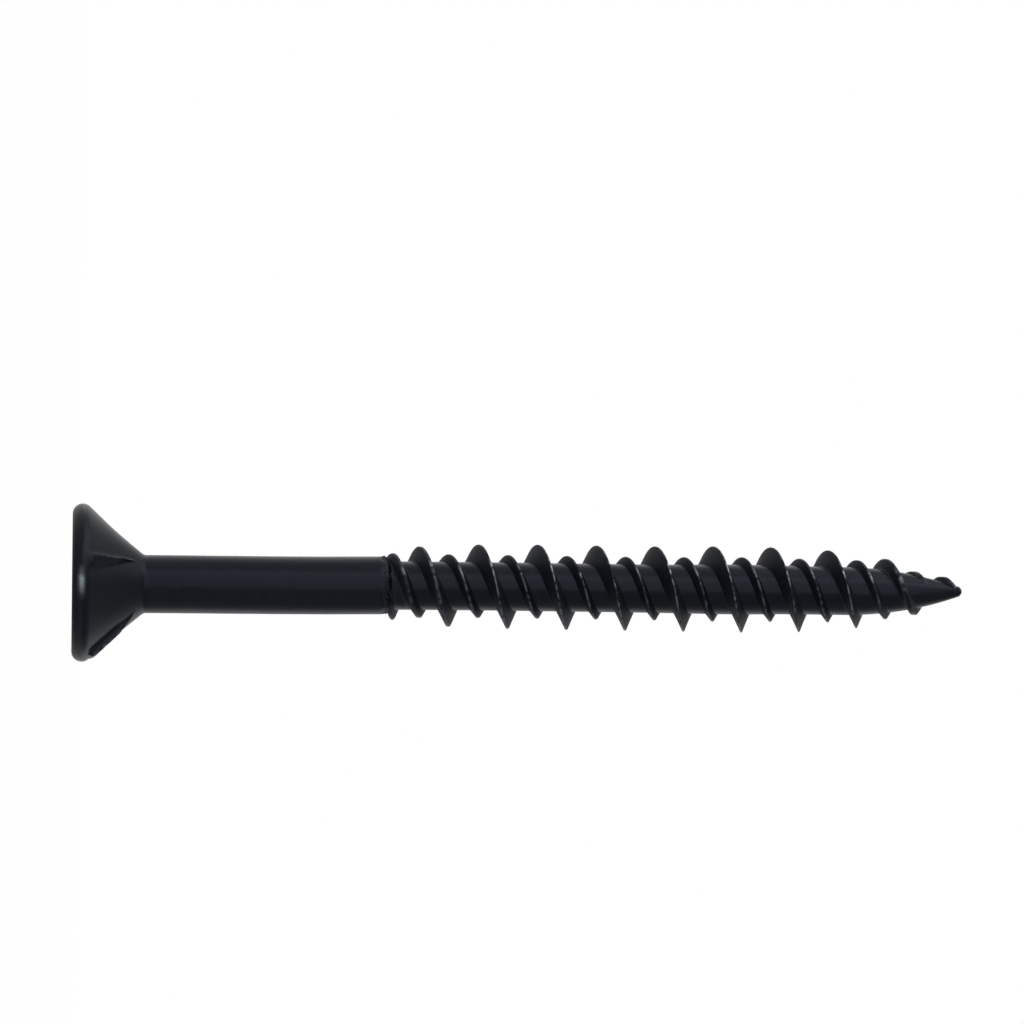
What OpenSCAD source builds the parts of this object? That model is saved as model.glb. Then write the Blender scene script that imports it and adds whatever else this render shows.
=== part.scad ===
// Flat head wood screw with a square drive, a plain shank and a two-start thread.
// One start is high and one is low, half a turn apart.
// The screw stands on the flat face of its head: z = 0 is that face, +Z runs to the point.

/* [Screw] */
// Length from the flat face of the head to the tip
screw_length = 44.45; // [38:0.05:76]
// Distance from the flat face of the head to the end of the plain shank
shank_end = 15.6; // [10:0.05:20]
// Diameter of the plain shank
shank_d = 2.84; // [2.7:0.01:3.3]

/* [Head] */
// Diameter of the head across its rim
head_d = 7.8; // [7:0.05:9]
// Included angle of the cone under the head
head_angle = 82; // [78:1:90]
// Radius of the rounded rim
rim_round = 0.5; // [0.3:0.01:0.6]
// Radius of the fillet between the cone and the shank
neck_fillet = 0.4; // [0.1:0.01:1]

/* [Drive] */
// Width of the square recess at the face
drive_mouth = 3.2; // [2.9:0.05:3.6]
// Width of the square recess at its floor
drive_floor = 2.74; // [2.4:0.02:2.84]
// Depth of the recess at its corners
drive_depth = 2.05; // [1.5:0.05:2.3]
// Depth of the conical dish in the recess floor
drive_dish = 0.4; // [0.2:0.05:0.6]

/* [Nibs under the head] */
// Number of cutting nibs
nib_count = 4; // [2:1:6]
// Sideways offset of the middle of a nib's crest from the axis
nib_offset = 1.17; // [0.9:0.01:1.3]
// Height of a nib's crest above the cone
nib_height = 0.2; // [0.1:0.01:0.3]
// Width of a nib at the rim
nib_width = 0.72; // [0.4:0.02:1]

/* [Thread] */
// Advance of each start in one turn
thread_lead = 2.93; // [2.4:0.01:3.6]
// Diameter over the high start
high_d = 4.14; // [3.9:0.02:4.6]
// Diameter over the low start
low_d = 3.1; // [2.9:0.01:3.5]
// Diameter of the core between the starts
core_d = 2.38; // [2.1:0.01:2.6]
// Slope of the high start's flank on the side of the head, from a plane across the axis
high_head_flank = 23.5; // [15:0.5:28]
// Slope of the high start's flank on the side of the point
high_point_flank = 19; // [12:0.5:28]
// Slope of the low start's flank on the side of the head
low_head_flank = 36; // [25:0.5:40]
// Slope of the low start's flank on the side of the point
low_point_flank = 26; // [20:0.5:40]
// Width of the land on a thread's crest
crest_land = 0.07; // [0.04:0.01:0.12]
// Direction in which the high start leaves the shank
start_angle = -59; // [-180:1:180]
// Length over which the high start rises to its full height
run_in = 3.8; // [2.5:0.1:7]
// Length over which the high start comes down towards the tip
run_out = 7.6; // [6.5:0.1:10]

/* [Point] */
// Length of the pointed end
point_length = 5.95; // [5:0.05:6.4]
// Diameter of the blunt tip
tip_d = 0.4; // [0.3:0.02:0.6]

/* [Hidden] */

// Body
shank_r = shank_d / 2;
head_r = head_d / 2;
core_r = core_d / 2;
tip_r = tip_d / 2;
face_r = head_r - rim_round;
half_angle = head_angle / 2;
// Where the rounded rim runs into the cone
cone_top = [face_r + rim_round * cos(half_angle), rim_round + rim_round * sin(half_angle)];
// Where the cone would meet the shank without a fillet
cone_foot_z = cone_top[1] + (cone_top[0] - shank_r) / tan(half_angle);
neck_tangent = neck_fillet * tan(half_angle / 2);
point_start = screw_length - point_length;
// The shank steps down to the core over this length
step_length = 0.3;
tip_bevel = 0.08;
rim_steps = 9;
neck_steps = 4;
point_steps = 9;
body_fn = 96;

// Thread
// Length of each start that lies inside the shank
hidden_start = 0.35;
thread_start = shank_end - hidden_start;
// Distance from the tip at which each start ends
high_gap = 0.3;
low_gap = 2.1;
high_end = screw_length - high_gap;
low_end = screw_length - low_gap;
// Depth by which a start begins and ends below the surface
thread_sink = 0.06;
first_rise = shank_r - core_r;
high_rise = high_d / 2 - core_r;
low_rise = low_d / 2 - core_r;
// Share of its full height that the high start keeps at its end
end_share = 0.22;
// Part of the core's radius at which the thread's sides are rooted
root_share = 0.72;
// Length over which each start dies away at its end
tail_length = 0.75;
turn_steps = 24;

// Overshoot of a cut past the face that it opens
cut_over = 0.5;

// Nibs
// Depth by which a nib is rooted in the cone, and by which its edges sink into it
nib_root = 0.3;
nib_seat = 0.03;
// How much further out the crest stands at the rim than in its middle
nib_splay = 0.08;
// Where the crest ends inside the edge of the flat face, and the foot outside it
nib_crest_gap = 0.1;
nib_foot_reach = 0.2;

function blend(a, b, t) = a + (b - a) * t;
function clamp01(t) = min(1, max(0, t));
function arc(centre, radius, from, to, steps) =
    [for (i = [0 : steps])
        let (a = blend(from, to, i / steps))
        [centre[0] + radius * cos(a), centre[1] + radius * sin(a)]];

// Radius of the core at a height: straight, then a parabola to the tip
function core_radius(z) =
    core_r - (core_r - tip_r) * pow(clamp01((z - point_start) / point_length), 2);

// Height of the high start above the core
function high_height(z) =
    let (rise = clamp01((z - thread_start) / run_in))
    let (fall = clamp01((z - (screw_length - run_out)) / run_out))
    blend(blend(first_rise, high_rise, 1 - pow(1 - rise, 2)), high_rise * end_share, fall);

// Height of the low start above the core: it rises in half a turn
function low_height(z) =
    let (rise = clamp01((z - thread_start) / (thread_lead / 2)))
    let (fall = clamp01((z - point_start) / point_length))
    blend(blend(first_rise, low_rise, rise), 0, pow(fall, 2));

// Height of a start with its two ends sunk below the surface
function sunk_height(full, z, last_z) =
    let (start = clamp01((z - thread_start) / hidden_start))
    let (end = clamp01((last_z - z) / tail_length))
    full * sin(90 * end) - thread_sink * (1 - start) - thread_sink * (1 - end);

// One section of a start, in the half-plane through the axis
function section(z, height, flanks) =
    let (foot = core_radius(z))
    let (root = foot * root_share)
    let (crest = foot + height)
    let (land = crest_land / 2)
    let (head_side = land + (crest - root) * tan(flanks[0]))
    let (point_side = land + (crest - root) * tan(flanks[1]))
    [[root, -head_side], [crest, -land], [crest, land], [root, point_side]];

// One start, swept up the helix from the first angle
module swept_start(first_angle, last_z, is_high) {
    flanks = is_high ? [high_head_flank, high_point_flank] : [low_head_flank, low_point_flank];
    turns = (last_z - thread_start) / thread_lead;
    count = ceil(turns * turn_steps);
    rings = [for (i = [0 : count])
        let (z = blend(thread_start, last_z, i / count))
        let (a = first_angle + 360 * turns * i / count)
        let (height = sunk_height(is_high ? high_height(z) : low_height(z), z, last_z))
        [for (p = section(z, height, flanks)) [p[0] * cos(a), p[0] * sin(a), z + p[1]]]];
    points = [for (ring = rings) for (p = ring) p];
    corners = len(rings[0]);
    sides = [for (i = [0 : count - 1])
        for (j = [0 : corners - 1])
            let (a = i * corners + j)
            let (b = i * corners + (j + 1) % corners)
            for (face = [[a, b, b + corners], [a, b + corners, a + corners]]) face];
    first_cap = [[for (j = [corners - 1 : -1 : 0]) j]];
    last_cap = [[for (j = [0 : corners - 1]) count * corners + j]];
    polyhedron(points = points, faces = concat(first_cap, sides, last_cap), convexity = 20);
}

// Head, shank, core and point turned as one profile
module turned_body() {
    neck_centre = [shank_r + neck_fillet, cone_foot_z + neck_tangent];
    core_start = shank_end + step_length;
    profile = concat(
        [[0, 0]],
        arc([face_r, rim_round], rim_round, -90, half_angle, rim_steps),
        arc(neck_centre, neck_fillet, 180 + half_angle, 180, neck_steps),
        [[shank_r, shank_end], [core_r, core_start]],
        [for (i = [0 : point_steps])
            let (z = blend(point_start, screw_length - tip_bevel, i / point_steps))
            [core_radius(z), z]],
        [[tip_r - tip_bevel, screw_length], [0, screw_length]]
    );
    rotate_extrude($fn = body_fn) polygon(profile);
}

// Square recess, narrower towards its floor, with a shallow conical dish
module drive_recess() {
    full_depth = drive_depth + drive_dish;
    taper = (drive_mouth - drive_floor) / drive_depth;
    mouth = drive_mouth + taper * cut_over;
    floor_w = drive_mouth - taper * full_depth;
    dish_slope = drive_dish / (drive_floor * sqrt(0.5));
    intersection() {
        translate([0, 0, -cut_over])
            linear_extrude(height = full_depth + cut_over, scale = floor_w / mouth)
                square(mouth, center = true);
        rotate_extrude($fn = body_fn)
            polygon([
                [0, -cut_over],
                [mouth, -cut_over],
                [mouth, full_depth - mouth * dish_slope],
                [0, full_depth]
            ]);
    }
}

// Point on the cone under the head at a plan position, raised by a height along its normal
function on_cone(x, y, lift) =
    let (radius = norm([x, y]))
    let (z = cone_top[1] + (cone_top[0] - radius) / tan(half_angle))
    let (out = lift * cos(half_angle) / radius)
    [x + x * out, y + y * out, z + lift * sin(half_angle)];

// One cutting nib: a wedge that widens from the neck to the rim, steep on the side of its crest
module nib() {
    neck_end = [shank_r + nib_seat, nib_splay - nib_offset];
    crest_end = [face_r - nib_crest_gap, -nib_offset - nib_splay / 2];
    rim_end = [face_r + nib_foot_reach, -nib_offset - nib_splay];
    foot_end = [rim_end[0], rim_end[1] + nib_width];
    plan = [neck_end, crest_end, rim_end, foot_end];
    lifts = [-nib_seat, nib_height, -nib_seat, -nib_seat];
    top = [for (i = [0 : 3]) on_cone(plan[i][0], plan[i][1], lifts[i])];
    root = [for (p = plan) on_cone(p[0], p[1], -nib_root)];
    polyhedron(points = concat(top, root), faces = [
        [0, 3, 1], [1, 3, 2], [4, 5, 7], [5, 6, 7],
        [0, 5, 4], [0, 1, 5], [1, 6, 5], [1, 2, 6],
        [2, 7, 6], [2, 3, 7], [3, 4, 7], [3, 0, 4]
    ]);
}

module screw() {
    color([0.11, 0.12, 0.14])
        difference() {
            union() {
                turned_body();
                swept_start(start_angle, high_end, true);
                swept_start(start_angle + 180, low_end, false);
                for (i = [0 : nib_count - 1]) rotate([0, 0, i * 360 / nib_count]) nib();
            }
            drive_recess();
        }
}

screw();
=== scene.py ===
"""A black flat head wood screw with a square drive, standing on its head in a soft pale studio.

Sizes are in millimetres, as in the part's source, and become metres when the mesh is made.
z runs from the flat face of the head to the point. Angles go round the screw from +X, in
radians unless a name or a comment says degrees. The camera looks along +Y, with +Z to the right
and -X up.
"""

import math

import bpy
import numpy as np
from mathutils import Matrix, Vector


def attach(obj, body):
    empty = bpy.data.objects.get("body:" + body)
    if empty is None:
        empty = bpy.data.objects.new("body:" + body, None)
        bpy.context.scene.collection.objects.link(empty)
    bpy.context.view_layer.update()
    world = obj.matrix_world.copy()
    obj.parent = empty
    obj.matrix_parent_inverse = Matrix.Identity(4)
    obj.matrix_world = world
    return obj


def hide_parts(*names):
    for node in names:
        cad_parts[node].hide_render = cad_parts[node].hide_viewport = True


MM = 0.001
TURN = 2 * math.pi

# Body of the screw
LENGTH = 44.45
SHANK_END = 15.6
SHANK_R = 1.435
HEAD_R = 3.9
HALF_ANGLE = math.radians(41)
RIM_ROUND = 0.5
NECK_BLEND = 0.08
CONE_HOLLOW = 0.05
CORE_R = 1.2
# The core is a little thicker some way before the point
SWELL = 0.045
SWELL_Z = 32.8
SWELL_SPAN = 2.6
TIP_R = 0.2
POINT_LENGTH = 5.95
# How far the screw lies towards -X of its axis along its length
BOW = ((0.0, 0.045), (0.9, 0.04), (2.2, 0.0), (11.0, 0.0), (15.5, 0.04), (20.0, 0.042),
       (25.0, 0.02), (30.0, 0.0), (35.0, 0.0), (38.5, -0.025), (42.5, -0.03), (44.45, 0.0))

# Thread. Flanks are angles from a plane across the axis: head side, point side.
LEAD = 2.93
HIGH_PHASE = 15.73
LOW_PHASE = HIGH_PHASE + LEAD / 2
THREAD_START = 15.25
HIGH_FLANKS = (math.radians(23.5), math.radians(19))
LOW_FLANKS = (math.radians(36), math.radians(26))
# Width of the hollow at the foot of each start
HIGH_HOLLOW = 0.02
LOW_HOLLOW = 0.015
# Height of each crest above the core along the screw, and that of a start that hasn't begun
HIGH_CREST = ((15.2, 0.3), (15.95, 0.55), (17.2, 0.75), (18.9, 0.83), (20.4, 0.88), (22.5, 0.91),
              (34.0, 0.905), (36.6, 0.885), (37.8, 0.82), (39.2, 0.66), (40.7, 0.56),
              (42.1, 0.32), (43.2, 0.31), (43.9, 0.16), (44.3, -0.1))
LOW_CREST = ((15.2, 0.3), (15.85, 0.41), (17.2, 0.39), (19.0, 0.375), (38.0, 0.375),
             (39.2, 0.37), (40.6, 0.32), (42.0, 0.19), (42.7, -0.1))
NO_CREST = -1.0
# Width of the flat on a crest: rolled wide at both ends of the thread
CREST_LAND = ((15.2, 0.14), (17.8, 0.14), (19.5, 0.08), (21.0, 0.06), (38.5, 0.06), (40.6, 0.1),
              (41.5, 0.26), (43.0, 0.24), (44.3, 0.1))
# How far a crest lies beyond its place on a perfectly even helix
DRIFT = ((15.2, 0.16), (16.3, 0.0), (17.5, -0.06), (23.0, -0.02), (29.0, 0.0), (35.0, -0.02),
         (39.0, -0.055), (42.0, -0.04), (43.5, 0.06))
DRIFT_TRIES = 6

# Wear on the crests, which also paints their highlight: how far it reaches beside the flat, and how
# strong it is on the low start
WEAR_EDGE = 0.02
LOW_WEAR = 0.6
# Flats wider than this are worn less
WORN_LAND = 0.07
# Where round the screw the crests are worn most and their highlight is painted, how far that
# reaches, and how worn the rest is
CREST_HIGHLIGHT_ANGLE = math.radians(241)
CREST_HIGHLIGHT_SPREAD = math.radians(11)
WEAR_AWAY_FROM_HIGHLIGHT = 0.27
# Height over which the sides of the thread turn matt, and the share that is matt at the foot
MATT_RISE = 0.06
MATT_FOOT = 0.8

# Torn end of the shank. Waves are depth, number round the shank and phase.
STEP_LENGTH = 0.26
LIP_SHIFT = -0.14
LIP_WAVES = ((0.04, 3, 1.0), (0.03, 7, 0.0), (0.015, 17, 2.0))
GROOVE_BEHIND = 0.1
GROOVE_SPAN = 0.26
GROOVE_DEPTH = 0.05
GROOVE_WAVES = ((0.02, 5, 2.5), (0.02, 11, 0.0))
# Small torn spots: waves round the shank and along it
TORN_DEPTH = 0.06
TORN_WAVES = ((17, 16), (29, -21))
# A burr at -X, just before the end
BURR_HEIGHT = 0.05
BURR_BEFORE = 0.22
BURR_SPAN = 0.1
BURR_TURN = 0.3
# From this far before its end, and over this span, the plain shank runs into the torn end
BLEND_BEFORE = 0.45
BLEND_SPAN = 0.1

# Drive recess
MOUTH = 3.2
FLOOR_W = 2.74
DEPTH = 2.05
DISH = 0.4
# Where the straight walls end below the mouth: distance inside it, and depth
WALL_END_INSET = 0.03
WALL_END_DEPTH = 0.05
# Pressed border round the recess: its width, and how much of its corners is cut, as a share
BORDER = 3.8
BORDER_CORNER = 0.02

# Rows of points on the face, from the middle outwards
DISH_SHARES = (0.12, 0.35, 0.6, 0.8, 0.93, 1.0)
WALL_SHARES = (0.02, 0.2, 0.4, 0.6, 0.8, 0.95, 1.0)
# Distance outside the mouth, depth, whether sand-like, whether it carries the burr
MOUTH_RINGS = ((-0.01, 0.018, 0, 1), (0.02, 0.003, 1, 1), (0.06, 0.0, 1, 0), (0.14, 0.0, 1, 0))
# Distance outside the border, depth, how sand-like
BORDER_RINGS = ((-0.03, 0.0, 1.0), (0.0, 0.016, 0.45), (0.03, 0.0, 1.0))
FACE_SHARES = (0.15, 0.3, 0.5, 0.7, 0.85, 1.0)
# How brightly the burr on two sides of the mouth is rubbed, in spots and all over
MOUTH_WEAR = 0.8
MOUTH_POLISH = 0.24
# The burred sides stop just short of the corners, where this cosine or sine would be 0.707
MOUTH_SIDE = 0.72

# Painted highlights on the rim, as places rubbed bright: angle and width in degrees, strength
RIM_HIGHLIGHTS = ((268.5, 4.2, 0.95), (275.5, 2.5, 0.4), (262.5, 3.5, 0.25), (18.0, 9.0, 0.25),
             (131.0, 6.0, 0.4))
RIM_HIGHLIGHT_Z = 0.46
RIM_HIGHLIGHT_SPAN = 0.11

# Nibs under the head: angle of the first in degrees, then height and relative width of each.
# The second is higher and wider than the others.
NIB_ANGLE = 270.0
NIB_HEIGHTS = (0.22, 0.28, 0.22, 0.22)
NIB_SPREADS = (1.0, 2.4, 1.0, 1.0)
# A nib dies away inside the first radius and outside the second, to nothing at the next two
NIB_INNER_R = 1.95
NIB_OUTER_R = 3.62
NIB_START_R = SHANK_R + 0.1
NIB_END_R = HEAD_R - 0.06
# The columns keep the same angles inside this radius
NIB_HOLD_R = NIB_INNER_R - 0.15
# From this radius outwards, and over this distance, a nib grows to its full height
NIB_GROWTH_R = NIB_INNER_R - 0.2
NIB_GROWTH = 0.8
# Width of a nib's steep side
NIB_STEEP = 0.12
# How far a nib's crest and edge lie beside the axis: a radius, the distance there and its
# change per millimetre inwards
NIB_CREST_LINE = (3.66, 1.345, -0.128)
NIB_EDGE_LINE = (3.8, 0.693, 0.224)
NIB_LEAST_WIDTH = 0.04
# Nibs are worn above this share of their height, and at most this much
NIB_WORN_ABOVE = 0.8
NIB_WEAR = 0.5

# Mesh
COLUMNS = 128
QUARTER = COLUMNS // 4
FIRST_ANGLE_DEGREES = 247.5
NIB_FLANK_COLUMNS = 8
NIB_STEEP_COLUMNS = 4
NIB_PLAIN_COLUMNS = QUARTER - NIB_FLANK_COLUMNS - NIB_STEEP_COLUMNS
RIM_ROWS = 12
CONE_ROWS = 34
# The cone's rows end this far before its foot, and the shank's this far before the thread
FOOT_GAP = 0.03
SHANK_GAP = 0.4
SHANK_SHARES = (0.005, 0.012, 0.03, 0.08, 0.2, 0.4, 0.6, 0.8, 1.0)
# Rows per lead, as distances from the high crest, from the low crest and from the high crest
HIGH_ROWS = (-0.56, -0.5, -0.455, -0.435, -0.422, -0.408, -0.37, -0.32, -0.26, -0.2, -0.14,
             -0.09, -0.05, -0.032, -0.02, 0.0, 0.02, 0.032, 0.05, 0.1, 0.16, 0.22, 0.28, 0.325,
             0.341, 0.357, 0.4, 0.46)
LOW_ROWS = (-0.4, -0.34, -0.316, -0.302, -0.288, -0.25, -0.2, -0.14, -0.08, -0.034, -0.02, 0.0,
            0.02, 0.034, 0.07, 0.12, 0.17, 0.2, 0.213, 0.226, 0.26, 0.32)
CORE_ROWS = (0.55, 0.65, 0.75, 0.85, 0.95, 1.86, 1.95, 2.05, 2.15, 2.26)
# The thread's rows stop this far from the rings at its two ends
ROW_GAP = 0.004
# The thread ends this far before the tip
TIP_BEVEL = 0.12
# Rings of the blunt end: radius and distance from the tip
TIP_RINGS = ((0.15, 0.04), (0.08, 0.0))

# Finish
IOR = 1.31
COAT_SHEEN = (0.68, 0.8, 1.0, 1)
COAT_DARK = (0.0022, 0.0027, 0.0046, 1)
COAT_LIGHT = (0.0042, 0.0049, 0.0076, 1)
# Bare steel where worn, also the colour of the painted highlights on the crests and rim
WORN_STEEL_AND_HIGHLIGHT = (0.36, 0.4, 0.46, 1)
SAND_GREY = (0.23, 0.25, 0.29, 1)
WORN_METALLIC = 0.7
BLACK, WHITE = (0, 0, 0, 1), (1, 1, 1, 1)
# Patterns: grain in millimetres, detail, roughness of the noise
CLOUD = (0.5, 5, 0.6)
SPECKLE = (0.06, 4, 0.7)
RUBBED = (0.35, 3, 0.5)
STREAKS = (0.2, 3, 0.6)
SMUDGE = (0.25, 4, 0.5)
GRAIN = (0.07, 3, 0.5)
# Where in its noise each pattern begins and is full
CLOUD_RANGE = (0.35, 0.7)
SPECKLE_RANGE = (0.45, 0.6)
RUBBED_RANGE = (0.42, 0.6)
# Roughness of the coat, and what each pattern or mark adds to it
ROUGH = 0.15
ROUGH_SMUDGE = 0.12
ROUGH_STREAKS = 0.1
ROUGH_MATT = 0.33
WORN_SMOOTHER = 0.1
# Width of a streak as a share of its length along the axis
STREAK_STRETCH = 0.06
# Depth of the grain in millimetres. Smooth places have this share of it, sand-like ones 1 more.
BUMP_DEPTH = 0.004
GRAIN_SHARE = 0.3
GRAIN_STRENGTH = 1.5

# Studio, in metres. The floor lies just under the face, so that the two don't share a plane.
FLOOR_GAP = 0.00002
FLOOR_SIZE = 3.0
FLOOR_WHITE = (0.86, 0.86, 0.86, 1)
FLOOR_ROUGH = 0.9
# Share of glow in the floor where the camera sees it, and where a reflection shows it
FLOOR_GLOW = 0.98
FLOOR_REFLECTED_GLOW = 0.2
# Towards the middle of the white backdrop, and the world's strength from the far side (0) to
# there (1)
BACKDROP = (-0.613, 0.731, -0.3)
ROOM = ((0.0, 0.4), (0.12, 0.4), (0.22, 0.43), (0.33, 0.54), (0.44, 0.88), (0.54, 0.9),
        (0.62, 0.7), (0.75, 0.64), (0.86, 0.68), (0.97, 1.0), (1.0, 1.0))
# Soft boxes: name, place, width and height, watts. They face the aim.
AIM = (0, 0, 0.022)
LAMPS = (("front", (-0.187, -0.464, 0.2), (0.7, 0.44), 0.73),
         ("top", (-0.42, -0.12, 0.32), (0.45, 0.45), 0.5))

# Camera: distance and height in millimetres, focal length in pixels, angles in degrees
CAMERA_DISTANCE = 220.1
CAMERA_HEIGHT = 0.3
FOCAL_PX = 4447.0
IMAGE_PX = 1024
SENSOR_WIDTH = 36
YAW = 5.563
PITCH = 0.972
ROLL = 0.54
# Nearest and furthest that the camera sees, in metres
CLIP = (0.01, 20)


# Small helpers

def blend(a, b, t):
    return a + (b - a) * t


def clamp01(t):
    return np.clip(t, 0.0, 1.0)


def smooth(t):
    t = clamp01(t)
    return t * t * (3 - 2 * t)


def bell(off, width):
    """1 at no distance, and nearly nothing at twice the width."""
    return np.exp(-((off / width) ** 2))


def around(angle, middle):
    """How far an angle lies from another, from half a turn back to half a turn on."""
    return (angle - middle + math.pi) % TURN - math.pi


def soft_max(a, b, width):
    """The larger of a and b, with a round hollow of about that width where they meet."""
    near = np.maximum(width - np.abs(a - b), 0.0)
    return np.maximum(a, b) + near * near / (4 * width)


def curve(points, at):
    """A smooth curve through a few points that never swings past them, read at each place."""
    x, y = np.array(points).T
    secant = np.diff(y) / np.diff(x)
    before, after = secant[:-1], secant[1:]
    gentle = np.sign(before) * np.minimum(np.abs(before), np.abs(after))
    inner = np.where(before * after > 0, gentle, 0.0)
    slope = np.concatenate([secant[:1], inner, secant[-1:]])
    k = np.clip(np.searchsorted(x, at) - 1, 0, len(x) - 2)
    width = x[k + 1] - x[k]
    t = clamp01((at - x[k]) / width)
    level = y[k] * (1 + 2 * t) * (1 - t) ** 2 + y[k + 1] * t**2 * (3 - 2 * t)
    return level + width * (slope[k] * t * (1 - t) ** 2 - slope[k + 1] * t**2 * (1 - t))


def waves(angle, parts):
    return sum(depth * np.sin(count * angle + phase) for depth, count, phase in parts)


# Shape of the body

FACE_R = HEAD_R - RIM_ROUND
CONE_TOP_R = FACE_R + RIM_ROUND * math.cos(HALF_ANGLE)
CONE_TOP_Z = RIM_ROUND + RIM_ROUND * math.sin(HALF_ANGLE)
CONE_FOOT_Z = CONE_TOP_Z + (CONE_TOP_R - SHANK_R) / math.tan(HALF_ANGLE)


def core_radius(z):
    """Radius of the core between the threads: nearly straight, then a parabola to the tip."""
    t = clamp01((z - (LENGTH - POINT_LENGTH)) / POINT_LENGTH)
    return CORE_R + SWELL * bell(z - SWELL_Z, SWELL_SPAN) - (CORE_R - TIP_R) * t**2


def cone_radius(z):
    """Radius of the cone under the head, which is very slightly hollow."""
    t = clamp01((z - CONE_TOP_Z) / (CONE_FOOT_Z - CONE_TOP_Z))
    straight = CONE_TOP_R - (z - CONE_TOP_Z) * math.tan(HALF_ANGLE)
    return straight - CONE_HOLLOW * np.sin(math.pi * t)


def even_place(z):
    """The height on an even helix that drifts to z."""
    place = z
    for _ in range(DRIFT_TRIES):
        place = z - curve(DRIFT, place)
    return place


def start_radius(angle, z, phase, crest_points, flanks):
    """Radius of one start at an angle and a height, and how near its crest that is."""
    place = even_place(z)
    off = (place - phase - LEAD * angle / TURN + LEAD / 2) % LEAD - LEAD / 2
    crest_z = place - off
    height = np.where(crest_z < THREAD_START, NO_CREST, curve(crest_points, crest_z))
    slope = np.where(off < 0, 1 / math.tan(flanks[0]), 1 / math.tan(flanks[1]))
    off_land = np.abs(off) - curve(CREST_LAND, crest_z) / 2
    radius = core_radius(crest_z) + height - np.maximum(off_land, 0.0) * slope
    return radius, clamp01(1 - off_land / WEAR_EDGE)


def lip(angle, z):
    """The torn end of the shank: how its edge wanders, and a groove and a burr on it."""
    wander = LIP_SHIFT + waves(angle, LIP_WAVES)
    torn = np.prod([np.sin(turns * angle + along * z) for turns, along in TORN_WAVES], axis=0)
    depth = GROOVE_DEPTH + waves(angle, GROOVE_WAVES) + TORN_DEPTH * torn
    groove = depth * bell(z - SHANK_END - wander - GROOVE_BEHIND, GROOVE_SPAN)
    burr = bell(z - SHANK_END + BURR_BEFORE, BURR_SPAN) * bell(around(angle, math.pi), BURR_TURN)
    return wander, BURR_HEIGHT * burr - groove


def thread_radius(angle, z):
    """Radius of the threaded part, how worn it is, with the painted highlight on its crests, and
    how matt.
    """
    wander, torn_edge = lip(angle, z)
    step = clamp01((z - SHANK_END - wander) / STEP_LENGTH)
    body = np.where(step < 1, blend(SHANK_R, CORE_R, smooth(step)), core_radius(z)) + torn_edge
    high, near_high = start_radius(angle, z, HIGH_PHASE, HIGH_CREST, HIGH_FLANKS)
    low, near_low = start_radius(angle, z, LOW_PHASE, LOW_CREST, LOW_FLANKS)
    wear = np.maximum(near_high * (high > body), LOW_WEAR * near_low * (low > body))
    wear = wear * np.minimum(1.0, WORN_LAND / curve(CREST_LAND, z))
    # Painted highlight: the crest wear is strongest round one angle, where it stands for glints
    wear = wear * blend(WEAR_AWAY_FROM_HIGHLIGHT, 1.0, bell(around(angle, CREST_HIGHLIGHT_ANGLE), CREST_HIGHLIGHT_SPREAD))
    matt = clamp01((np.maximum(high, low) - body) / MATT_RISE + MATT_FOOT)
    matt = matt * (1 - np.maximum(near_high, near_low))
    radius = soft_max(soft_max(body, low, LOW_HOLLOW), high, HIGH_HOLLOW)
    inside = smooth((z - SHANK_END + BLEND_BEFORE) / BLEND_SPAN)
    return blend(SHANK_R, radius, inside), wear * inside, matt * inside


# Mesh building

# What each point says about its finish: worn in spots, with painted highlights on the crests; worn
# all over, with painted highlights on the rim; matt; sand-like
MARKS = ("wear", "polish", "matt", "sand")


class Grid:
    """Points in millimetres with their faces and marks."""

    def __init__(self):
        self.points = []
        self.marks = {name: [] for name in MARKS}
        self.faces = []
        self.count = 0

    def add(self, xyz, **marks):
        """Adds points and returns their numbers."""
        xyz = np.asarray(xyz, float).reshape(-1, 3)
        first = self.count
        self.points.append(xyz)
        for name in MARKS:
            value = np.asarray(marks.get(name, 0.0), float)
            self.marks[name].append(np.broadcast_to(value, (len(xyz),)))
        self.count += len(xyz)
        return np.arange(first, self.count)

    def band(self, a, b):
        """Quads between two rings of the same number of points."""
        for a1, a2, b2, b1 in zip(a, np.roll(a, -1), np.roll(b, -1), b):
            self.faces.append((a1, a2, b2, b1))

    def fan(self, a, b, middle):
        """Triangles from pairs of points to one in the middle."""
        for pair in zip(a, b):
            self.faces.append((*pair, middle))

    def mesh(self, name):
        points = np.concatenate(self.points)
        points[:, 0] -= curve(BOW, points[:, 2])
        mesh = bpy.data.meshes.new(name)
        faces = [tuple(int(i) for i in face) for face in self.faces]
        mesh.from_pydata((points * MM).tolist(), [], faces)
        for mark, values in self.marks.items():
            layer = mesh.attributes.new(mark, "FLOAT", "POINT")
            layer.data.foreach_set("value", np.concatenate(values).astype(np.float32))
        mesh.validate()
        mesh.shade_smooth()
        return mesh


def even_angles():
    return np.radians(FIRST_ANGLE_DEGREES + 360 / COLUMNS * np.arange(COLUMNS))


def ring(radius, angles, z):
    z = np.broadcast_to(z, np.shape(angles))
    return np.stack([radius * np.cos(angles), radius * np.sin(angles), z], axis=1)


def line_at(line, r):
    """Reads a line given by a radius, its value there and its change per millimetre inwards."""
    at, value, change = line
    return value + (at - r) * change


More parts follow.
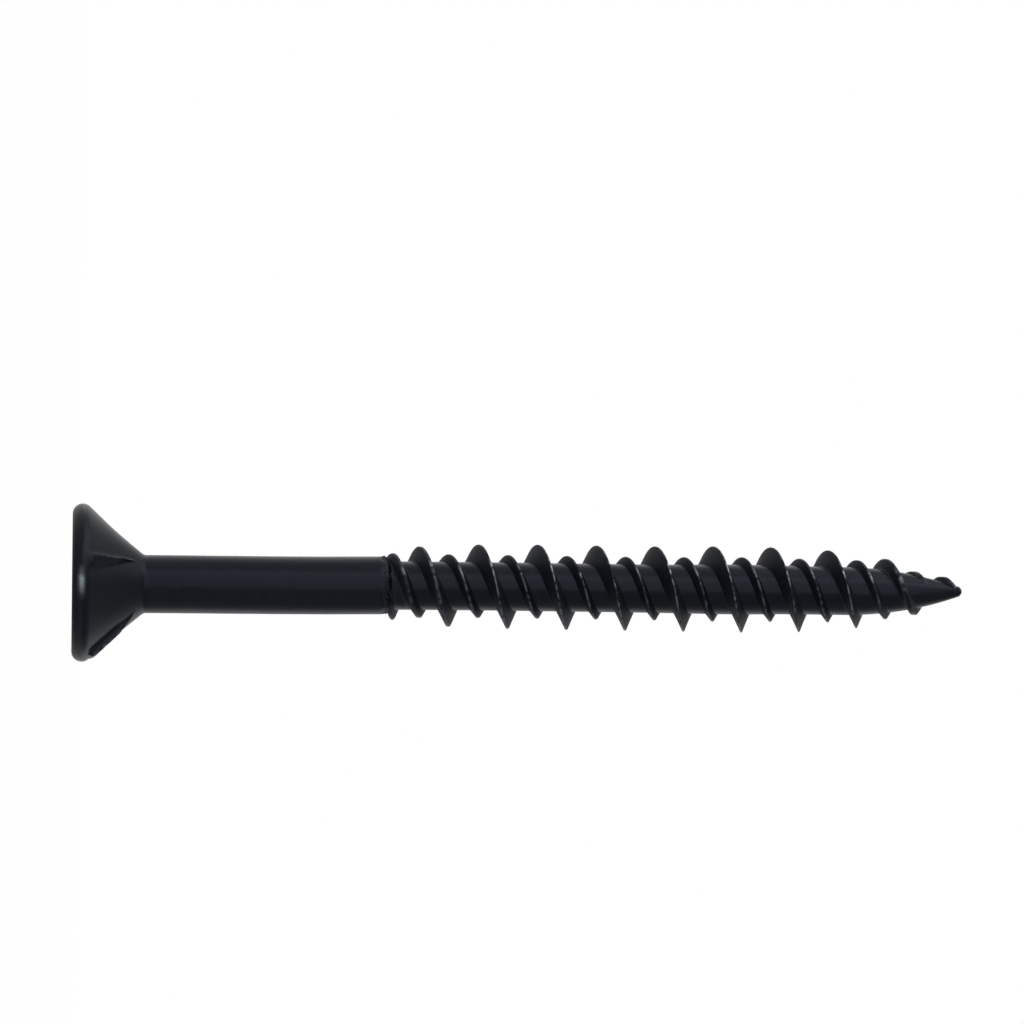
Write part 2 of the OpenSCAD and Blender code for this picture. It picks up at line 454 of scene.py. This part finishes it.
def nib_angles(r):
    """Angles of the columns on the cone at a radius, lined up with the nibs' crests and edges."""
    r = max(r, NIB_HOLD_R)
    crest_off = line_at(NIB_CREST_LINE, r)
    edge_off = min(line_at(NIB_EDGE_LINE, r), crest_off - NIB_LEAST_WIDTH)
    crest = NIB_ANGLE - math.degrees(math.asin(crest_off / r))
    edge = NIB_ANGLE - math.degrees(math.asin(edge_off / r))
    steep = math.degrees(NIB_STEEP / r)
    angles = []
    for q, spread in enumerate(NIB_SPREADS):
        stops = ((crest, NIB_FLANK_COLUMNS), (crest + (edge - crest) * spread, NIB_PLAIN_COLUMNS),
                 (crest + 90 - steep, NIB_STEEP_COLUMNS), (crest + 90, 0))
        for (start, count), (end, _) in zip(stops, stops[1:]):
            angles.append(blend(start, end, np.arange(count) / count) + 90 * q)
    return np.radians(np.concatenate(angles))


def nib_lift(r):
    """Height above the cone of each column at a radius."""
    grow = clamp01((r - NIB_GROWTH_R) / NIB_GROWTH)
    grow = grow * clamp01((NIB_END_R - r) / (NIB_END_R - NIB_OUTER_R))
    if r < NIB_INNER_R:
        grow = grow * clamp01((r - NIB_START_R) / (NIB_INNER_R - NIB_START_R))
    flank = 1 - np.arange(NIB_FLANK_COLUMNS) / NIB_FLANK_COLUMNS
    plain = np.zeros(NIB_PLAIN_COLUMNS)
    wall = np.arange(NIB_STEEP_COLUMNS) / NIB_STEEP_COLUMNS
    # The wall before a nib is as high as the nib that comes after it
    after = NIB_HEIGHTS[1:] + NIB_HEIGHTS[:1]
    lifts = [np.concatenate([h * flank, plain, n * wall]) for h, n in zip(NIB_HEIGHTS, after)]
    return grow * np.concatenate(lifts)


def mouth_sides(angles):
    """1 on the two sides of the recess whose edge carries a burr, at -X and -Y, else 0."""
    burred = (np.cos(angles) < -MOUTH_SIDE) | (np.sin(angles) < -MOUTH_SIDE)
    return burred.astype(float)


def border_line(out, square):
    """The pressed border, a square with cut corners, or a line at a distance outside it."""
    return (BORDER / 2 + out) * np.minimum(square, math.sqrt(2) - BORDER_CORNER)


def face_rings(square):
    """Rings from the recess's floor to its border: distance from the axis, depth, sand, burr."""
    half = FLOOR_W / 2
    for share in DISH_SHARES:
        reach = share * half * square
        lift = DISH * np.maximum(1 - reach / (half * math.sqrt(2)), 0)
        yield reach, DEPTH + lift, 0, 0
    for share in WALL_SHARES:
        reach = blend(half, MOUTH / 2 - WALL_END_INSET, share) * square
        yield reach, blend(DEPTH, WALL_END_DEPTH, share), 0, 0
    for out, depth, sand, burr in MOUTH_RINGS:
        yield (MOUTH / 2 + out) * square, depth, sand, burr
    for out, depth, sand in BORDER_RINGS:
        yield border_line(out, square), depth, sand, 0


def add_face(grid):
    """Flat face with the square recess, from the floor's middle to the rim. Gives its last ring."""
    angles = even_angles()
    square = 1 / np.maximum(np.abs(np.cos(angles)), np.abs(np.sin(angles)))
    burred = mouth_sides(angles)
    centre = grid.add([[0, 0, DEPTH + DISH]])[0]
    last = None
    for reach, depth, sand, burr in face_rings(square):
        wear, polish = MOUTH_WEAR * burr * burred, MOUTH_POLISH * burr * burred
        now = grid.add(ring(reach, angles, depth), sand=sand, wear=wear, polish=polish)
        if last is None:
            grid.fan(np.roll(now, -1), now, centre)
        else:
            grid.band(last, now)
        last = now
    border = border_line(BORDER_RINGS[-1][0], square)
    rim_angles = nib_angles(CONE_TOP_R)
    for share in FACE_SHARES:
        turned = blend(angles, rim_angles, share)
        now = grid.add(ring(blend(border, FACE_R, share), turned, 0.0), sand=1.0)
        grid.band(last, now)
        last = now
    return last


def rim_highlight(angles, z):
    """Painted highlight on the rim, as places rubbed bright."""
    bright = np.zeros_like(angles)
    for middle, width, strength in RIM_HIGHLIGHTS:
        off = around(angles, math.radians(middle))
        bright = np.maximum(bright, strength * bell(off, math.radians(width)))
    return bright * bell(z - RIM_HIGHLIGHT_Z, RIM_HIGHLIGHT_SPAN)


def add_rim(grid, last):
    angles = nib_angles(CONE_TOP_R)
    for share in np.linspace(0, 1, RIM_ROWS)[1:]:
        a = blend(-math.pi / 2, HALF_ANGLE, share)
        r = FACE_R + RIM_ROUND * math.cos(a)
        z = RIM_ROUND + RIM_ROUND * math.sin(a)
        # Painted highlights on the rim
        now = grid.add(ring(r, angles, z), polish=rim_highlight(angles, z))
        grid.band(last, now)
        last = now
    return last


def add_cone(grid, last):
    """Cone with its nibs. Returns its last ring and where the cone ends."""
    foot = CONE_FOOT_Z - FOOT_GAP
    for z in np.linspace(CONE_TOP_Z, foot, CONE_ROWS)[1:]:
        r = cone_radius(z)
        lift = nib_lift(r)
        radius = soft_max(r + lift * math.cos(HALF_ANGLE), SHANK_R, NECK_BLEND)
        wear = np.clip(lift / NIB_HEIGHTS[0] - NIB_WORN_ABOVE, 0, NIB_WEAR)
        height = z + lift * math.sin(HALF_ANGLE)
        now = grid.add(ring(radius, nib_angles(r), height), wear=wear)
        grid.band(last, now)
        last = now
    return last, foot


def add_shank(grid, last, foot):
    """Neck and plain shank. Returns the last ring and where the threaded part starts."""
    end = THREAD_START - SHANK_GAP
    for share in SHANK_SHARES:
        turned = blend(nib_angles(SHANK_R), even_angles(), smooth(share))
        z = blend(foot, end, share)
        now = grid.add(ring(soft_max(cone_radius(z), SHANK_R, NECK_BLEND), turned, z))
        grid.band(last, now)
        last = now
    return last, end


def thread_rows(start, end, angles):
    """Distances of all rows from the first high crest, and how many there are in one lead."""
    rows = [r % LEAD for r in HIGH_ROWS] + [r + LEAD / 2 for r in LOW_ROWS] + list(CORE_ROWS)
    rows = np.array(sorted(rows))
    first = math.floor((start - HIGH_PHASE - LEAD * angles[-1] / TURN) / LEAD) - 1
    last = math.ceil((end - HIGH_PHASE - LEAD * angles[0] / TURN) / LEAD) + 1
    return np.concatenate([rows + LEAD * n for n in range(first, last + 1)]), len(rows)


def add_thread(grid, last, start):
    """The threaded part as a grid whose rows run along the crests. Returns its last ring."""
    end = LENGTH - TIP_BEVEL
    angles = even_angles()
    rows, per_lead = thread_rows(start, end, angles)
    z = HIGH_PHASE + rows[:, None] + LEAD * angles[None, :] / TURN
    z = z + curve(DRIFT, z)
    angle = np.broadcast_to(angles[None, :], z.shape)
    column = np.broadcast_to(np.arange(COLUMNS)[None, :], z.shape)
    before, after = z <= start + ROW_GAP, z >= end - ROW_GAP
    inside = ~before & ~after
    radius, wear, matt = (values[inside] for values in thread_radius(angle, z))
    xyz = ring(radius, angle[inside], z[inside])
    number = np.full(z.shape, -1)
    number[inside] = grid.add(xyz, wear=wear, matt=matt)
    end_radius, _, _ = thread_radius(angles, np.full(COLUMNS, end))
    end_ring = grid.add(ring(end_radius, angles, end))
    # Rows that run past either end gather on the ring there
    number = np.where(before, np.asarray(last)[column], number)
    number = np.where(after, end_ring[column], number)
    # The column after the last one is the first, one lead further on
    past_end = np.broadcast_to(end_ring[:1], (per_lead, 1))
    next_first = np.concatenate([number[per_lead:, :1], past_end])
    right = np.concatenate([number[:, 1:], next_first], axis=1)
    quads = np.stack([number[:-1], right[:-1], right[1:], number[1:]], axis=2)
    for quad in quads.reshape(-1, 4).tolist():
        face = tuple(dict.fromkeys(quad))
        if len(face) > 2:
            grid.faces.append(face)
    return end_ring


def add_tip(grid, last):
    """The blunt end of the point."""
    for radius, back in TIP_RINGS:
        now = grid.add(ring(radius, even_angles(), LENGTH - back))
        grid.band(last, now)
        last = now
    grid.fan(last, np.roll(last, -1), grid.add([[0, 0, LENGTH]])[0])


def make_screw():
    grid = Grid()
    last = add_face(grid)
    last = add_rim(grid, last)
    last, foot = add_cone(grid, last)
    last, start = add_shank(grid, last, foot)
    last = add_thread(grid, last, start)
    add_tip(grid, last)
    screw = bpy.data.objects.new("screw_visual", grid.mesh("screw_visual"))
    bpy.context.scene.collection.objects.link(screw)
    screw.data.materials.append(black_steel())
    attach(screw, "root")
    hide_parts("screw")


# Materials

class Tree:
    """Short ways to add nodes to a material or a world."""

    def __init__(self, owner):
        owner.use_nodes = True
        self.nodes = owner.node_tree.nodes
        self.links = owner.node_tree.links

    def feed(self, socket, value):
        """Sets a socket to a plain value, or links it to another node's output."""
        if isinstance(value, (int, float, tuple)):
            socket.default_value = value
        else:
            self.links.new(value, socket)

    def math(self, operation, a, b):
        node = self.nodes.new("ShaderNodeMath")
        node.operation = operation
        self.feed(node.inputs[0], a)
        self.feed(node.inputs[1], b)
        return node.outputs["Value"]

    def times(self, a, b):
        return self.math("MULTIPLY", a, b)

    def plus(self, a, b):
        return self.math("ADD", a, b)

    def larger(self, a, b):
        return self.math("MAXIMUM", a, b)

    def noise(self, vector, pattern):
        """Noise whose blobs are about as large as the pattern's grain in millimetres."""
        grain, detail, roughness = pattern
        texture = self.nodes.new("ShaderNodeTexNoise")
        texture.inputs["Scale"].default_value = 1 / (grain * MM)
        texture.inputs["Detail"].default_value = detail
        texture.inputs["Roughness"].default_value = roughness
        self.links.new(vector, texture.inputs["Vector"])
        return texture.outputs["Fac"]

    def ramp(self, value, span, low_colour, high_colour):
        """Turns a value between the ends of a span into a colour between two."""
        node = self.nodes.new("ShaderNodeValToRGB")
        first, last = node.color_ramp.elements
        first.position, last.position = span
        first.color, last.color = low_colour, high_colour
        self.links.new(value, node.inputs["Fac"])
        return node.outputs["Color"]

    def mark(self, name):
        node = self.nodes.new("ShaderNodeAttribute")
        node.attribute_name = name
        return node.outputs["Fac"]

    def mix(self, factor, a, b):
        """A colour between a and b."""
        node = self.nodes.new("ShaderNodeMix")
        node.data_type = "RGBA"
        colours = [i for i in node.inputs if i.type == "RGBA"]
        for socket, value in zip((node.inputs[0], *colours), (factor, a, b)):
            self.feed(socket, value)
        return next(o for o in node.outputs if o.type == "RGBA")


def steel_colour(tree, place, sand, worn_and_highlight):
    """Blue-black coat with a grey speckle where it is sand-like, and bare steel where worn and
    where highlights are painted.
    """
    coat = tree.ramp(tree.noise(place, CLOUD), CLOUD_RANGE, COAT_DARK, COAT_LIGHT)
    speckle = tree.ramp(tree.noise(place, SPECKLE), SPECKLE_RANGE, BLACK, WHITE)
    coat = tree.mix(tree.times(speckle, sand), coat, SAND_GREY)
    return tree.mix(worn_and_highlight, coat, WORN_STEEL_AND_HIGHLIGHT)


def steel_roughness(tree, place, worn_and_highlight):
    """Satin, with smudges, streaks along the axis, matt flanks, and smoother places where worn and
    where highlights are painted.
    """
    drawn = tree.nodes.new("ShaderNodeMapping")
    drawn.inputs["Scale"].default_value = (1, 1, STREAK_STRETCH)
    tree.links.new(place, drawn.inputs["Vector"])
    streaks = tree.times(tree.noise(drawn.outputs["Vector"], STREAKS), ROUGH_STREAKS)
    smudge = tree.times(tree.noise(place, SMUDGE), ROUGH_SMUDGE)
    rough = tree.plus(tree.plus(smudge, ROUGH), streaks)
    rough = tree.plus(rough, tree.times(tree.mark("matt"), ROUGH_MATT))
    return tree.math("SUBTRACT", rough, tree.times(worn_and_highlight, WORN_SMOOTHER))


def steel_grain(tree, place, sand):
    """A very fine grain, deeper on the sand-like face."""
    strength = tree.times(tree.plus(sand, GRAIN_SHARE), GRAIN_STRENGTH)
    bump = tree.nodes.new("ShaderNodeBump")
    bump.inputs["Distance"].default_value = BUMP_DEPTH * MM
    tree.links.new(tree.times(tree.noise(place, GRAIN), strength), bump.inputs["Height"])
    return bump.outputs["Normal"]


def black_steel():
    """Satin black conversion coating with a fine grain, rubbed bright in places, which also paints
    highlights on the crests and rim.
    """
    material = bpy.data.materials.new("black_steel")
    tree = Tree(material)
    place = tree.nodes.new("ShaderNodeTexCoord").outputs["Object"]
    sand = tree.mark("sand")
    rubbed = tree.ramp(tree.noise(place, RUBBED), RUBBED_RANGE, BLACK, WHITE)
    # Worn places, together with the painted highlights of the crests and rim
    worn_and_highlight = tree.plus(tree.times(tree.mark("wear"), rubbed), tree.mark("polish"))
    inputs = tree.nodes["Principled BSDF"].inputs
    inputs["IOR"].default_value = IOR
    inputs["Specular Tint"].default_value = COAT_SHEEN
    tree.links.new(steel_colour(tree, place, sand, worn_and_highlight), inputs["Base Color"])
    tree.links.new(tree.times(worn_and_highlight, WORN_METALLIC), inputs["Metallic"])
    tree.links.new(steel_roughness(tree, place, worn_and_highlight), inputs["Roughness"])
    tree.links.new(steel_grain(tree, place, sand), inputs["Normal"])
    return material


def floor_glow(tree):
    """Share of glow for what sees the floor; none for the light that it sheds on things."""
    path = tree.nodes.new("ShaderNodeLightPath").outputs
    mirrored = tree.larger(path["Is Glossy Ray"], path["Is Transmission Ray"])
    straight = tree.times(path["Is Camera Ray"], FLOOR_GLOW)
    return tree.larger(straight, tree.times(mirrored, FLOOR_REFLECTED_GLOW))


def pale_floor():
    """Looks white, and keeps a little of the object's shadow."""
    material = bpy.data.materials.new("pale_floor")
    tree = Tree(material)
    shader = tree.nodes["Principled BSDF"]
    shader.inputs["Base Color"].default_value = FLOOR_WHITE
    shader.inputs["Roughness"].default_value = FLOOR_ROUGH
    glow = tree.nodes.new("ShaderNodeEmission")
    glow.inputs["Color"].default_value = WHITE
    mix = tree.nodes.new("ShaderNodeMixShader")
    tree.links.new(floor_glow(tree), mix.inputs["Fac"])
    tree.links.new(shader.outputs["BSDF"], mix.inputs[1])
    tree.links.new(glow.outputs["Emission"], mix.inputs[2])
    tree.links.new(mix.outputs["Shader"], tree.nodes["Material Output"].inputs["Surface"])
    return material


# Scene

def make_floor():
    bpy.ops.mesh.primitive_plane_add(size=FLOOR_SIZE, location=(0, 0, -FLOOR_GAP))
    floor = bpy.context.object
    floor.name = "floor"
    floor.data.materials.append(pale_floor())


def room_strength(tree):
    """Strength of the world in each direction, read from the room's curve."""
    towards = tree.nodes.new("ShaderNodeVectorMath")
    towards.operation = "DOT_PRODUCT"
    direction = tree.nodes.new("ShaderNodeTexCoord").outputs["Generated"]
    tree.links.new(direction, towards.inputs[0])
    towards.inputs[1].default_value = BACKDROP
    share = tree.nodes.new("ShaderNodeMapRange")
    share.inputs["From Min"].default_value = -1.0
    tree.links.new(towards.outputs["Value"], share.inputs["Value"])
    room = tree.nodes.new("ShaderNodeFloatCurve")
    points = room.mapping.curves[0].points
    points[0].location, points[1].location = ROOM[0], ROOM[-1]
    for place in ROOM[1:-1]:
        points.new(*place)
    room.mapping.update()
    tree.links.new(share.outputs["Result"], room.inputs["Value"])
    return room.outputs["Value"]


def make_world():
    """White behind and over the object, darker in front of it and below: a product studio.

    The photograph's up is -X. The camera itself sees plain white.
    """
    world = bpy.data.worlds.new("studio")
    bpy.context.scene.world = world
    tree = Tree(world)
    camera_ray = tree.nodes.new("ShaderNodeLightPath").outputs["Is Camera Ray"]
    background = tree.nodes["Background"]
    background.inputs["Color"].default_value = WHITE
    tree.links.new(tree.larger(room_strength(tree), camera_ray), background.inputs["Strength"])


def make_lamps():
    for name, place, size, watts in LAMPS:
        data = bpy.data.lights.new(name, "AREA")
        data.shape = "RECTANGLE"
        data.size, data.size_y = size
        data.energy = watts
        lamp = bpy.data.objects.new(name, data)
        bpy.context.scene.collection.objects.link(lamp)
        lamp.location = place
        facing = Vector(AIM) - Vector(place)
        lamp.rotation_euler = facing.to_track_quat("-Z", "Y").to_euler()
        lamp.visible_camera = False


def make_camera():
    yaw, pitch, roll = (math.radians(a) for a in (YAW, PITCH, ROLL))
    forward = Vector((0, math.cos(yaw), math.sin(yaw)))
    right = Vector((0, -math.sin(yaw), math.cos(yaw)))
    up = Vector((-1, 0, 0))
    tilted = forward * math.cos(pitch) + up * math.sin(pitch)
    up = up * math.cos(pitch) - forward * math.sin(pitch)
    turned = right * math.cos(roll) + up * math.sin(roll)
    up = up * math.cos(roll) - right * math.sin(roll)
    data = bpy.data.cameras.new("photo_camera")
    data.sensor_width = SENSOR_WIDTH
    data.lens = FOCAL_PX * SENSOR_WIDTH / IMAGE_PX
    data.clip_start, data.clip_end = CLIP
    camera = bpy.data.objects.new("photo_camera", data)
    bpy.context.scene.collection.objects.link(camera)
    rotation = Matrix((turned, up, -tilted)).transposed()
    place = Vector((0, -CAMERA_DISTANCE * MM, CAMERA_HEIGHT * MM))
    camera.matrix_world = Matrix.Translation(place) @ rotation.to_4x4()
    bpy.context.scene.camera = camera


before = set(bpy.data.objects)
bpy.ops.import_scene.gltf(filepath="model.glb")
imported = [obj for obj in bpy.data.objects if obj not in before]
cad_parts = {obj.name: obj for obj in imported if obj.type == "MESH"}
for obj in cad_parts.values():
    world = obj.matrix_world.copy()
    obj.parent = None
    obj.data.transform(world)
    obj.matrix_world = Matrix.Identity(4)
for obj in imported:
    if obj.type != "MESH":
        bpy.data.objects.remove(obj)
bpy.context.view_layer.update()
bpy.context.scene.view_settings.view_transform = "Standard"
make_camera()
make_screw()
make_floor()
make_world()
make_lamps()
